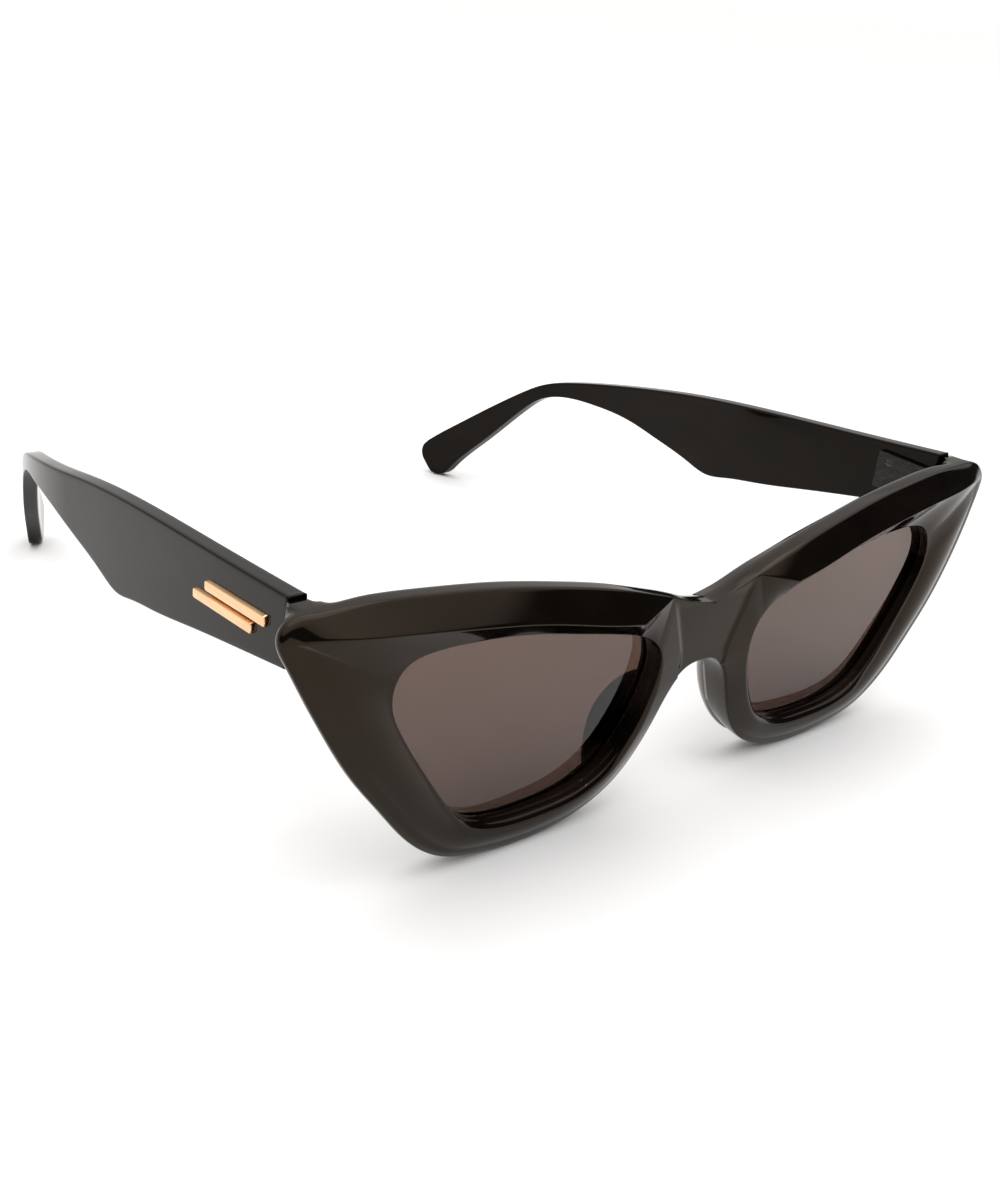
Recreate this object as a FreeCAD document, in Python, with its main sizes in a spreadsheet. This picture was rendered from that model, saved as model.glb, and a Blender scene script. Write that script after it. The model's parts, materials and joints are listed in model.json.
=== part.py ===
import FreeCAD, Part
import Sketcher
import math
import os

# Cat-eye sunglasses: acetate front, two tinted lenses, two folding temples.
# The front faces -Y, the temples run back along +Y, +Z is up.
# "left" and "right" are the wearer's: left is the +X side.

Vector = FreeCAD.Vector
Rotation = FreeCAD.Rotation
os.makedirs("parts", exist_ok=True)
doc = FreeCAD.newDocument("CatEyeSunglasses")

# ---------------------------------------------------------------- sizes (mm)
SIZES = [
    ("centreDepth", -1.0), ("wrapRadius", 513.6), ("wrapEasing", 57.13), ("domeRadius", 213.8),
    ("twistLength", 538.2), ("rimRise", 0.9), ("browRise", 2.0), ("riseLow", -4.0), ("riseHigh", 14.0),
    ("backDepth", 4.5), ("noseThickening", 1.2), ("endTaper", 3.0), ("taperStart", 66.0), ("taperEnd", 71.0),
    ("lensCentre", 34.0), ("lensFront", 2.3), ("lensTilt", 2.0), ("lensThickness", 1.8),
    ("grooveDepth", 1.2), ("grooveGap", 0.1), ("dishWidth", 3.4), ("dishTop", -2.4), ("dishEdge", 0.5),
    ("lensYaw", 2.95), ("bridgeRadius", 13.0), ("bridgeFloor", -0.4), ("browSlope", 35.0),
    ("hingePadBack", 7.08), ("buttBack", 8.5), ("hingePadInner", 53.6), ("buttInner", 64.1),
    ("padLow", 10.3), ("padHigh", 19.8), ("buttLow", 8.0), ("buttOuter", 67.2),
    ("hingeX", 62.4), ("hingeY", 8.6), ("hingeLow", 11.2), ("knuckleHeight", 1.34),
    ("knuckleGap", 0.06), ("barrelRadius", 1.5), ("pinRadius", 0.70), ("pinHoleRadius", 0.74),
    ("leafThickness", 0.9), ("frontLeafLength", 6.6), ("templeLeafLength", 9.6), ("leafStart", 1.95),
    ("leafInnerFace", 0.6), ("plateScrewRadius", 0.45), ("plateScrewHole", 0.50),
    ("plateScrewLength", 1.7), ("plateHeadRadius", 0.80), ("plateHeadHeight", 0.30),
    ("plateSeatGap", 0.05), ("screwStagger", 1.7), ("frontScrewInset", 1.6), ("frontScrewPitch", 2.9),
    ("templeScrewInset", 2.0), ("templeScrewPitch", 5.2),
    ("screwHeadRadius", 1.15), ("screwHeadHeight", 0.6), ("screwSlot", 0.3),
    ("templeInnerFace", 1.55), ("templeThickness", 2.8), ("hookStart", 70.0), ("hookInward", 13.0),
    ("hookEnd", 125.0), ("templeYaw", 1.1),
    ("barLength", 16.3), ("barWidth", 1.8), ("barHeight", 0.55), ("barSlope", 7.0),
    ("barPinRadius", 0.35), ("barPinHole", 0.40), ("barPinLength", 1.1), ("barPinInset", 2.5),
    ("upperBarY", 4.7), ("upperBarZ", 15.5), ("lowerBarY", 8.1), ("lowerBarZ", 12.97),
    ("padHeight", 14.0), ("padDepth", 8.6), ("padThickness", 3.4), ("padCrown", 12.0),
    ("padX", 10.0), ("padY", 6.2), ("padZ", -6.6), ("padYaw", -24.0), ("padRoll", -20.0),
    ("lean", 1.135),
]
sheet = doc.addObject("Spreadsheet::Sheet", "Sizes")
for row, (alias, value) in enumerate(SIZES, start=1):
    sheet.set("A%d" % row, alias)
    sheet.set("B%d" % row, repr(value))
    sheet.setAlias("B%d" % row, alias)
doc.recompute()


def size(alias):
    return float(getattr(sheet, alias))


# ---------------------------------------------------------------- outlines
# Half of the front's outer outline, (x, z), from the top of the bridge round to its underside.
FRONT_HALF = [
    (0, 10.0), (4, 10.9), (8, 12.3), (13, 13.9), (20, 15.9), (28, 17.6), (38, 19.2), (48, 20.1),
    (58, 20.6), (65.5, 20.6), (69.1, 20.0), (70.6, 18.1), (69.8, 14.8), (67.4, 9.6), (64.4, 3.6),
    (60.2, -3.6), (55.8, -9.6), (52, -14.6), (48, -18.5), (43.5, -21.0), (38, -22.2), (32, -22.8),
    (26, -22.6), (20.5, -21.5), (15.5, -19.1), (11.8, -15.6), (9.3, -11.6), (7.4, -7.2),
    (5.8, -3.5), (4.2, -1.3), (2.2, -0.1), (0, 0.2),
]
# Lens opening of the +X side, (x, z), clockwise from the nose side.
OPENING = [
    (9.9, 0.5), (10.3, 4.2), (12.7, 6.9), (18, 8.9), (26, 10.6), (34, 12.1), (42, 12.8),
    (49, 12.7), (53.6, 11.2), (55.3, 7.5), (53.7, 2.0), (50.3, -3.8), (46.2, -10.0),
    (42.2, -14.6), (37, -16.8), (29, -17.3), (21.5, -16.5), (16.6, -13.9), (13, -9.0),
    (10.8, -3.8),
]
# Temple outline, (y, z) from the hinge axis: top edge, tip, lower edge of hook and plate.
TEMPLE_TOP = [
    (0, 20.9), (19, 18.6), (38, 16.4), (59, 13.4), (78.6, 9.4), (92, 6.3), (100, 3.6),
    (105, 0.5), (112, -4.7), (121.5, -12.4), (127, -17.2),
]
TEMPLE_TIP = [(127, -17.2), (128.3, -19.4), (127.9, -21.3), (126.3, -24.1), (124.6, -25.4), (122.4, -24.0)]
TEMPLE_HOOK = [
    (122.4, -24.0), (113.8, -14.0), (104.6, -3.7), (100, 0.2), (94.6, 2.2), (86, 2.95),
    (77, 2.8), (67, 1.4), (57, -0.4),
]
TEMPLE_CORNER = [(57, -0.4), (54.4, -1.1), (51.6, -1.35), (48.4, -0.75)]
TEMPLE_LOWER = [(48.4, -0.75), (26, 4.6), (0, 10.9)]


def spline(points, closed=False):
    curve = Part.BSplineCurve()
    curve.interpolate(points, PeriodicFlag=closed)
    return curve.toShape()


def xz_points(pairs, y=0.0):
    return [Vector(x, y, z) for x, z in pairs]


def grown(pairs, distance):
    """Points of a clockwise closed outline moved outwards by a distance."""
    moved = []
    count = len(pairs)
    for i, (x, z) in enumerate(pairs):
        ax, az = pairs[i - 1]
        bx, bz = pairs[(i + 1) % count]
        length = math.hypot(bx - ax, bz - az)
        moved.append((x - distance * (bz - az) / length, z + distance * (bx - ax) / length))
    return moved


def prism(pairs, y_from, y_to):
    wire = Part.Wire([spline(xz_points(pairs, y_from), closed=True)])
    return Part.Face(wire).extrude(Vector(0, y_to - y_from, 0))


def reference(x, z):
    """Depth of the surface that the lens openings lie on: wrapped, domed and slightly twisted."""
    wrap = x * x / (2 * size("wrapRadius")) - (x / size("wrapEasing")) ** 4
    dome = z * z / (2 * size("domeRadius"))
    twist = (abs(x) - size("lensCentre")) * z / size("twistLength")
    return size("centreDepth") + wrap + dome + twist


def face_depth(x, z):
    """Front face: a low rim that rises towards the brow."""
    share = (z - size("riseLow")) / (size("riseHigh") - size("riseLow"))
    share = min(max(share, 0.0), 1.0)
    eased = share * share * (3 - 2 * share)
    return reference(x, z) - size("rimRise") - (size("browRise") - size("rimRise")) * eased


def back_depth(x, z):
    """Back face: follows the reference surface, thicker at the nose and thinner at the far ends."""
    nose = min(abs(x) / size("lensCentre"), 1.0)
    end = max(abs(x) - size("taperStart"), 0.0) / (size("taperEnd") - size("taperStart"))
    thicker = size("noseThickening") * (1 - nose * nose) ** 2
    thinner = size("endTaper") * end * end
    return reference(x, z) + size("backDepth") + thicker - thinner


def lens_depth(x, z):
    """Front of the lenses, which sit a little deeper at the nose than at the temples."""
    tilt = math.tan(math.radians(size("lensTilt")))
    return reference(x, z) + size("lensFront") - tilt * (abs(x) - size("lensCentre"))


def curved_block(depth, x_from, x_to, offset, thickness):
    """Block behind a curved surface that is moved back by an offset."""
    pitch = 4
    grid = []
    for x in range(x_from, x_to + 1, pitch):
        grid.append([Vector(x, depth(x, z) + offset, z) for z in range(-32, 33, pitch)])
    surface = Part.BSplineSurface()
    surface.interpolate(grid)
    return surface.toShape().extrude(Vector(0, thickness, 0))


def mirrored(shape):
    return shape.mirror(Vector(0, 0, 0), Vector(1, 0, 0))


# ---------------------------------------------------------------- lens
def to_lens_frame(shape):
    """Turn a shape drawn at the lens centre so that it follows the wrap of the front."""
    turn = Rotation(Vector(0, 0, 1), size("lensYaw"))
    shape.Placement = FreeCAD.Placement(Vector(0, 0, 0), turn, Vector(size("lensCentre"), 0, 0))
    return shape


def lens_shell(gap, edge):
    """Curved shell cut to the opening grown by an edge width, with a gap on both faces."""
    shell = curved_block(lens_depth, 0, 80, -gap, size("lensThickness") + 2 * gap)
    return shell.common(prism(grown(OPENING, edge), -12.0, 20.0))


lens_shape = lens_shell(0.0, size("grooveDepth"))

# ---------------------------------------------------------------- front frame


def front_prism(y_from, y_to):
    """The front's outer outline, drawn as one half and its mirror image, pushed back along Y."""
    curve = Part.BSplineCurve()
    across = Vector(1, 0, 0)
    curve.interpolate(Points=xz_points(FRONT_HALF, y_from), InitialTangent=across, FinalTangent=-across)
    half = curve.toShape()
    wire = Part.Wire(Part.__sortEdges__([half, mirrored(half)]))
    return Part.Face(wire).extrude(Vector(0, y_to - y_from, 0))


def brow_wedge():
    """Block that takes away the front above the brow crease, leaving a sloping facet."""
    low = Vector(18.0, face_depth(18.0, 11.3), 11.3)
    high = Vector(68.0, face_depth(68.0, 18.3), 18.3)
    along = (high - low).normalize()
    slope = math.radians(size("browSlope"))
    up = Vector(0, 0, 1)
    facet = Vector(0, math.sin(slope), 0) + up * math.cos(slope)
    facet = (facet - along * facet.dot(along)).normalize()
    start = low - along * (low.x / along.x)
    end = high + along * 20
    reach = facet * 20
    back = Vector(0, -30, 0)
    corners = [start, end, end + reach, start + reach]
    face = Part.Face(Part.makePolygon(corners + [corners[0]]))
    return face.extrude(back)


def dish():
    """Funnel from the raised rim down to the edge of the lens opening."""
    ridge = Part.Wire([spline(xz_points(grown(OPENING, size("dishWidth")), size("dishTop")), True)])
    edge = Part.Wire([spline(xz_points(grown(OPENING, -0.05), size("dishEdge")), True)])
    return to_lens_frame(Part.makeLoft([ridge, edge], True, True))


def hinge_pad(back, inner, outer, low, high):
    """Block that brings the end piece out to a flat back between two heights."""
    start = 4.0
    block = Part.makeBox(outer - inner, back - start, high - low, Vector(inner, start, low))
    return block.common(front_prism(start, back))


def hinge_room():
    """Space behind the flat that the hinge leaf lies on, up to the butt of the temple."""
    inner = size("hingePadInner")
    back = size("hingePadBack")
    return Part.makeBox(size("buttInner") - inner, 20, 20, Vector(inner, back, size("padLow")))


def front_screw_places():
    """Axes of the two screws that hold the front leaf, (x, z)."""
    middle = size("hingeLow") + 2.5 * size("knuckleHeight")
    first = size("hingeX") - size("leafStart") - size("frontScrewInset")
    stagger = size("screwStagger")
    return [(first, middle + stagger), (first - size("frontScrewPitch"), middle - stagger)]


def temple_screw_places():
    """Axes of the two screws that hold the temple leaf, (y, z) from the hinge axis."""
    middle = size("hingeLow") + 2.5 * size("knuckleHeight")
    first = size("leafStart") + size("templeScrewInset")
    stagger = size("screwStagger")
    return [(first, middle - stagger), (first + size("templeScrewPitch"), middle + stagger)]


def blind_hole(start, inwards, radius, depth):
    """Drill for a hole, started a little outside the face."""
    margin = 0.1
    return Part.makeCylinder(radius, depth + 2 * margin, start - inwards * margin, inwards)


def screw_hole(start, inwards):
    return blind_hole(start, inwards, size("plateScrewHole"), size("plateScrewLength"))


def build_front():
    blank = front_prism(-12.0, 20.0)
    body = blank.common(curved_block(face_depth, -80, 80, 0.0, 30.0))
    body = body.common(curved_block(back_depth, -80, 80, -30.0, 30.0))
    wedge = brow_wedge()
    funnel = dish()
    body = body.cut(wedge).cut(mirrored(wedge)).cut(funnel).cut(mirrored(funnel))
    low, high = size("padLow"), size("padHigh")
    leaf = hinge_pad(size("hingePadBack"), size("hingePadInner"), size("buttOuter"), low, high)
    butt = hinge_pad(size("buttBack"), size("buttInner"), size("buttOuter"), size("buttLow"), high)
    room = hinge_room()
    body = body.cut([room, mirrored(room)]).fuse([leaf, mirrored(leaf), butt, mirrored(butt)])
    opening = to_lens_frame(prism(OPENING, -12.0, 20.0))
    groove = lens_shell(size("grooveGap"), size("grooveDepth") + size("grooveGap"))
    body = body.cut([opening, mirrored(opening), groove, mirrored(groove)])
    radius = size("bridgeRadius")
    saddle = Part.makeCylinder(radius, 60, Vector(0, size("bridgeFloor") - radius, -30))
    body = body.cut(saddle)
    for x, z in front_screw_places():
        hole = screw_hole(Vector(x, size("hingePadBack"), z), Vector(0, -1, 0))
        body = body.cut([hole, mirrored(hole)])
    return body.removeSplitter()


front_shape = build_front()

# ---------------------------------------------------------------- nose pad


def build_pad():
    """Moulded pad behind the nose side of the rim, trimmed where it is bonded to the front."""
    back = -size("padThickness") / 2
    top = Vector(back, 0, size("padHeight") / 2)
    side = Vector(back, size("padDepth") / 2, 0)
    oval = Part.Ellipse(top, side, Vector(back, 0, 0)).toShape()
    pad = Part.Face(Part.Wire([oval])).extrude(Vector(size("padThickness"), 0, 0))
    pad = pad.common(Part.makeSphere(size("padCrown"), Vector(back + size("padCrown"), 0, 0)))
    roll = Rotation(Vector(0, 1, 0), size("padRoll"))
    turn = Rotation(Vector(0, 0, 1), size("padYaw")).multiply(roll)
    pad.Placement = FreeCAD.Placement(Vector(size("padX"), size("padY"), size("padZ")), turn)
    room = Part.makeBox(40, 30, 60, Vector(0, 1.0, -40))
    pad = pad.common(room).cut(front_shape)
    lens_room = lens_shell(0.3, size("grooveDepth") + 0.3)
    pad = pad.cut(lens_room)
    return max(pad.Solids, key=lambda solid: solid.Volume)


pad_shape = build_pad()

# ---------------------------------------------------------------- temple


def inward(y):
    """How far the hook has curved towards the head at a distance along the temple."""
    start = size("hookStart")
    if y <= start:
        return 0.0
    return size("hookInward") * ((y - start) / (size("hookEnd") - start)) ** 2


def temple_slab():
    inner_x = size("templeInnerFace")
    outer_x = inner_x + size("templeThickness")
    stations = [size("hookStart") + i * 65.0 / 6 for i in range(7)]
    edges = []
    for face_x in (inner_x, outer_x):
        points = [Vector(face_x - inward(y), y, -40) for y in stations]
        curve = Part.BSplineCurve()
        curve.interpolate(Points=points, InitialTangent=Vector(0, 1, 0), FinalTangent=points[-1] - points[-2])
        edges.append(curve.toShape())
        edges.append(Part.makeLine(Vector(face_x, -5, -40), points[0]))
    edges.append(Part.makeLine(Vector(inner_x, -5, -40), Vector(outer_x, -5, -40)))
    last = stations[-1]
    shift = inward(last)
    edges.append(Part.makeLine(Vector(inner_x - shift, last, -40), Vector(outer_x - shift, last, -40)))
    wire = Part.Wire(Part.__sortEdges__(edges))
    return Part.Face(wire).extrude(Vector(0, 0, 80))


def bar_axis(name):
    """Start and direction of a trim bar's centre line on the outer face, seen in (y, z)."""
    slope = math.radians(size("barSlope"))
    start = (size(name + "BarY"), size(name + "BarZ"))
    return start, (math.cos(slope), -math.sin(slope))


def bar_pin_places(name):
    (y, z), (dy, dz) = bar_axis(name)
    inset = size("barPinInset")
    return [(y + dy * d, z + dz * d) for d in (inset, size("barLength") - inset)]


def build_temple():
    loops = (TEMPLE_TOP, TEMPLE_TIP, TEMPLE_HOOK, TEMPLE_CORNER, TEMPLE_LOWER)
    edges = [spline([Vector(-40, y, z) for y, z in points]) for points in loops]
    edges.append(Part.makeLine(Vector(-40, 0, TEMPLE_LOWER[-1][1]), Vector(-40, 0, TEMPLE_TOP[0][1])))
    wire = Part.Wire(Part.__sortEdges__(edges))
    body = Part.Face(wire).extrude(Vector(80, 0, 0)).common(temple_slab())
    outer_x = size("templeInnerFace") + size("templeThickness")
    cuts = []
    for name in ("upper", "lower"):
        for y, z in bar_pin_places(name):
            start = Vector(outer_x, y, z)
            cuts.append(blind_hole(start, Vector(-1, 0, 0), size("barPinHole"), size("barPinLength")))
    for y, z in temple_screw_places():
        cuts.append(screw_hole(Vector(size("templeInnerFace"), y, z), Vector(1, 0, 0)))
    return body.cut(cuts)


temple_shape = build_temple()


# ---------------------------------------------------------------- placements
LEAN = FreeCAD.Placement(Vector(0, 0, 0), Rotation(Vector(1, 0, 0), size("lean")))
AXIS = FreeCAD.Placement(Vector(size("hingeX"), size("hingeY"), 0), Rotation())
YAW = FreeCAD.Placement(Vector(0, 0, 0), Rotation(Vector(0, 0, 1), size("templeYaw")))


def resting_offset():
    """Shift that puts the lowest points on the table and the middle of the depth over the origin."""
    front = front_shape.copy()
    front.Placement = LEAN.multiply(front.Placement)
    temple = temple_shape.copy()
    temple.Placement = LEAN.multiply(AXIS).multiply(YAW).multiply(temple.Placement)
    boxes = [front.optimalBoundingBox(), temple.optimalBoundingBox()]
    low = min(box.ZMin for box in boxes)
    middle = (min(box.YMin for box in boxes) + max(box.YMax for box in boxes)) / 2
    return FreeCAD.Placement(Vector(0, -middle, -low), Rotation())


REST = resting_offset()
FRONT_PLACE = REST.multiply(LEAN)
HINGE_PLACE = FRONT_PLACE.multiply(AXIS)
TEMPLE_PLACE = HINGE_PLACE.multiply(YAW)

# ---------------------------------------------------------------- document objects
PIECES = []


def keep(name, part, place=None):
    part.Label = name
    if place is not None:
        part.Placement = place
    PIECES.append((name, part))
    return part


def feature(name, shape, place):
    part = doc.addObject("Part::Feature", name)
    part.Shape = shape
    part.Placement = place.multiply(shape.Placement)
    return keep(name, part)


def mirror_piece(name, source):
    """The wearer's right-hand piece: the left one mirrored in the centre plane."""
    part = doc.addObject("Part::Mirroring", name)
    part.Source = source
    part.Base = Vector(0, 0, 0)
    part.Normal = Vector(1, 0, 0)
    return keep(name, part)


def body_of(name):
    return doc.addObject("PartDesign::Body", name + "_body")


def sketch_on(body, role, name, offset=None):
    plane = next(item for item in body.Origin.OriginFeatures if item.Role == role)
    sketch = body.newObject("Sketcher::SketchObject", name)
    sketch.AttachmentSupport = (plane, [""])
    sketch.MapMode = "FlatFace"
    if offset is not None:
        sketch.setExpression("AttachmentOffset.Base.z", offset)
    return sketch


def value_of(sketch, formula):
    result = sketch.evalExpression(formula)
    return float(getattr(result, "Value", result))


def bind(sketch, kind, item, point, formula):
    value = value_of(sketch, formula)
    index = sketch.addConstraint(Sketcher.Constraint(kind, -1, 1, item, point, value))
    sketch.setExpression("Constraints[%d]" % index, formula)


def add_rectangle(sketch, left, right, bottom, top):
    """Rectangle whose four sides follow formulas over the size sheet."""
    x0, x1, y0, y1 = [value_of(sketch, formula) for formula in (left, right, bottom, top)]
    corners = [Vector(x0, y0), Vector(x1, y0), Vector(x1, y1), Vector(x0, y1)]
    first = sketch.GeometryCount
    for i in range(4):
        sketch.addGeometry(Part.LineSegment(corners[i], corners[(i + 1) % 4]), False)
    for i in range(4):
        sketch.addConstraint(Sketcher.Constraint("Coincident", first + i, 2, first + (i + 1) % 4, 1))
    for i, kind in enumerate(("Horizontal", "Vertical", "Horizontal", "Vertical")):
        sketch.addConstraint(Sketcher.Constraint(kind, first + i))
    bind(sketch, "DistanceX", first, 1, left)
    bind(sketch, "DistanceY", first, 1, bottom)
    bind(sketch, "DistanceX", first + 2, 1, right)
    bind(sketch, "DistanceY", first + 2, 1, top)


def add_circle(sketch, x, y, radius):
    """Circle whose centre and radius follow formulas over the size sheet."""
    cx, cy, r = [value_of(sketch, formula) for formula in (x, y, radius)]
    index = sketch.addGeometry(Part.Circle(Vector(cx, cy), Vector(0, 0, 1), r), False)
    bind(sketch, "DistanceX", index, 3, x)
    bind(sketch, "DistanceY", index, 3, y)
    constraint = sketch.addConstraint(Sketcher.Constraint("Radius", index, r))
    sketch.setExpression("Constraints[%d]" % constraint, radius)


def pad_of(body, sketch, name, length, reverse=False):
    pad = body.newObject("PartDesign::Pad", name)
    pad.Profile = sketch
    pad.setExpression("Length", length)
    pad.Reversed = reverse
    return pad


def cut_of(body, sketch, name, length=None, reverse=False):
    """Pocket to a length, or right through both ways when no length is given."""
    pocket = body.newObject("PartDesign::Pocket", name)
    pocket.Profile = sketch
    if length is None:
        pocket.Type = "ThroughAll"
        pocket.Midplane = True
    else:
        pocket.setExpression("Length", length)
        pocket.Reversed = reverse
    return pocket


STACK = "5 * Sizes.knuckleHeight"
LOW = "Sizes.hingeLow"
SEAT = "Sizes.plateHeadRadius + Sizes.plateSeatGap"
SEAT_DEPTH = "Sizes.plateHeadHeight + Sizes.plateSeatGap"


def level(steps, extra=""):
    return "Sizes.hingeLow + %g * Sizes.knuckleHeight %s" % (steps, extra)


def add_barrel(body, prefix, arm):
    """Barrel round the hinge axis and the arm that ties it to its leaf, both full height."""
    barrel = sketch_on(body, "XY_Plane", prefix + "_barrel_sketch", LOW)
    add_circle(barrel, "0", "0", "Sizes.barrelRadius")
    pad_of(body, barrel, prefix + "_barrel", STACK)
    joint = sketch_on(body, "XY_Plane", prefix + "_arm_sketch", LOW)
    add_rectangle(joint, *arm)
    pad_of(body, joint, prefix + "_arm", STACK)


def add_pin_hole(body, prefix):
    bore = sketch_on(body, "XY_Plane", prefix + "_bore_sketch")
    add_circle(bore, "0", "0", "Sizes.pinHoleRadius")
    return cut_of(body, bore, prefix + "_bore")


def build_front_hinge():
    name = "front_hinge_left"
    body = body_of(name)
    leaf = sketch_on(body, "XZ_Plane", "front_leaf_sketch", "Sizes.leafInnerFace")
    inner = "0 - Sizes.leafStart - Sizes.frontLeafLength"
    add_rectangle(leaf, inner, "0 - Sizes.leafStart + 0.05", LOW, level(5))
    pad_of(body, leaf, "front_leaf", "Sizes.leafThickness")
    arm = ("0 - Sizes.leafStart", "0", "0 - Sizes.barrelRadius", "0 - Sizes.leafInnerFace")
    add_barrel(body, "front_hinge", arm)
    slots = sketch_on(body, "XZ_Plane", "front_slot_sketch")
    edges = ("0.1 - Sizes.leafStart", "Sizes.barrelRadius + 0.2")
    add_rectangle(slots, *edges, level(1, "- Sizes.knuckleGap"), level(2, "+ Sizes.knuckleGap"))
    add_rectangle(slots, *edges, level(3, "- Sizes.knuckleGap"), level(4, "+ Sizes.knuckleGap"))
    cut_of(body, slots, "front_slots")
    add_pin_hole(body, "front_hinge")
    holes = sketch_on(body, "XZ_Plane", "front_screw_hole_sketch")
    seats = sketch_on(body, "XZ_Plane", "front_screw_seat_sketch", "Sizes.leafInnerFace")
    first = "0 - Sizes.leafStart - Sizes.frontScrewInset"
    second = first + " - Sizes.frontScrewPitch"
    for x, offset in ((first, "+ Sizes.screwStagger"), (second, "- Sizes.screwStagger")):
        add_circle(holes, x, level(2.5, offset), "Sizes.plateScrewHole")
        add_circle(seats, x, level(2.5, offset), SEAT)
    cut_of(body, holes, "front_screw_holes")
    body.Tip = cut_of(body, seats, "front_screw_seats", SEAT_DEPTH, True)
    return keep(name, body, HINGE_PLACE)


def build_temple_hinge():
    name = "temple_hinge_left"
    body = body_of(name)
    leaf = sketch_on(body, "YZ_Plane", "temple_leaf_sketch", "Sizes.leafInnerFace")
    add_rectangle(leaf, "Sizes.leafStart - 0.05", "Sizes.leafStart + Sizes.templeLeafLength", LOW, level(5))
    pad_of(body, leaf, "temple_leaf", "Sizes.leafThickness")
    arm = ("Sizes.leafInnerFace", "Sizes.barrelRadius", "0", "Sizes.leafStart")
    add_barrel(body, "temple_hinge", arm)
    slots = sketch_on(body, "YZ_Plane", "temple_slot_sketch")
    edges = ("0 - Sizes.barrelRadius - 0.2", "Sizes.leafStart - 0.1")
    add_rectangle(slots, *edges, level(0, "- 1"), level(1))
    add_rectangle(slots, *edges, level(2), level(3))
    add_rectangle(slots, *edges, level(4), level(5, "+ 1"))
    cut_of(body, slots, "temple_slots")
    add_pin_hole(body, "temple_hinge")
    holes = sketch_on(body, "YZ_Plane", "temple_screw_hole_sketch")
    seats = sketch_on(body, "YZ_Plane", "temple_screw_seat_sketch", "Sizes.leafInnerFace")
    first = "Sizes.leafStart + Sizes.templeScrewInset"
    second = first + " + Sizes.templeScrewPitch"
    for y, offset in ((first, "- Sizes.screwStagger"), (second, "+ Sizes.screwStagger")):
        add_circle(holes, y, level(2.5, offset), "Sizes.plateScrewHole")
        add_circle(seats, y, level(2.5, offset), SEAT)
    cut_of(body, holes, "temple_screw_holes")
    body.Tip = cut_of(body, seats, "temple_screw_seats", SEAT_DEPTH, True)
    return keep(name, body, TEMPLE_PLACE)


def build_hinge_screw():
    name = "hinge_screw_left"
    body = body_of(name)
    shank = sketch_on(body, "XY_Plane", "pin_sketch", LOW + " - 0.3")
    add_circle(shank, "0", "0", "Sizes.pinRadius")
    pad_of(body, shank, "pin", STACK + " + 0.35")
    head = sketch_on(body, "XY_Plane", "pin_head_sketch", level(5, "+ 0.03"))
    add_circle(head, "0", "0", "Sizes.screwHeadRadius")
    pad_of(body, head, "pin_head", "Sizes.screwHeadHeight")
    slot = sketch_on(body, "XY_Plane", "pin_slot_sketch", level(5, "+ 0.03 + Sizes.screwHeadHeight"))
    add_rectangle(slot, "0 - 2", "2", "0 - Sizes.screwSlot / 2", "Sizes.screwSlot / 2")
    body.Tip = cut_of(body, slot, "pin_slot", "Sizes.screwSlot")
    return keep(name, body, HINGE_PLACE)


def build_bar(which):
    """Raised metal bar with two pins that sit in blind holes in the temple."""
    name = which + "_trim_bar_left"
    body = body_of(name)
    face = sketch_on(body, "YZ_Plane", which + "_bar_sketch")
    add_rectangle(face, "0", "Sizes.barLength", "0 - Sizes.barWidth / 2", "Sizes.barWidth / 2")
    pad_of(body, face, which + "_bar", "Sizes.barHeight")
    pins = sketch_on(body, "YZ_Plane", which + "_bar_pin_sketch")
    add_circle(pins, "Sizes.barPinInset", "0", "Sizes.barPinRadius")
    add_circle(pins, "Sizes.barLength - Sizes.barPinInset", "0", "Sizes.barPinRadius")
    tip = pad_of(body, pins, which + "_bar_pins", "Sizes.barPinLength", True)
    doc.recompute()
    outer = [i for i, item in enumerate(tip.Shape.Faces, start=1)
             if item.normalAt(0, 0).x > 0.99 and item.CenterOfMass.x > size("barHeight") - 0.01]
    edge = body.newObject("PartDesign::Chamfer", which + "_bar_edge")
    edge.Base = (tip, ["Face%d" % outer[0]])
    edge.Size = 0.22
    body.Tip = edge
    outer_x = size("templeInnerFace") + size("templeThickness") + 0.02
    start = Vector(outer_x, size(which + "BarY"), size(which + "BarZ"))
    slope = Rotation(Vector(1, 0, 0), -size("barSlope"))
    return keep(name, body, TEMPLE_PLACE.multiply(FreeCAD.Placement(start, slope)))


def plate_screw(start, inwards):
    """Small countersunk screw: flat head in the leaf's seat, shank into the plastic."""
    head = Part.makeCylinder(size("plateHeadRadius"), size("plateHeadHeight"), start, inwards)
    shank_length = size("leafThickness") + size("plateScrewLength") - 0.1
    shank = Part.makeCylinder(size("plateScrewRadius"), shank_length, start, inwards)
    across = inwards.cross(Vector(0, 0, 1))
    notch = Part.makeBox(2.4, 0.2, 0.3)
    frame = Rotation(across, Vector(0, 0, 1), -inwards, "ZXY")
    centre = frame.multVec(Vector(-1.2, -0.1, -0.15))
    notch.Placement = FreeCAD.Placement(start + centre, frame)
    return head.fuse(shank).cut(notch).removeSplitter()


def front_plate_screws():
    depth = size("hingeY") - size("leafInnerFace") - size("plateSeatGap")
    starts = [Vector(x, depth, z) for x, z in front_screw_places()]
    return Part.makeCompound([plate_screw(start, Vector(0, -1, 0)) for start in starts])


def temple_plate_screws():
    depth = size("leafInnerFace") + size("plateSeatGap")
    starts = [Vector(depth, y, z) for y, z in temple_screw_places()]
    return Part.makeCompound([plate_screw(start, Vector(1, 0, 0)) for start in starts])


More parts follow.
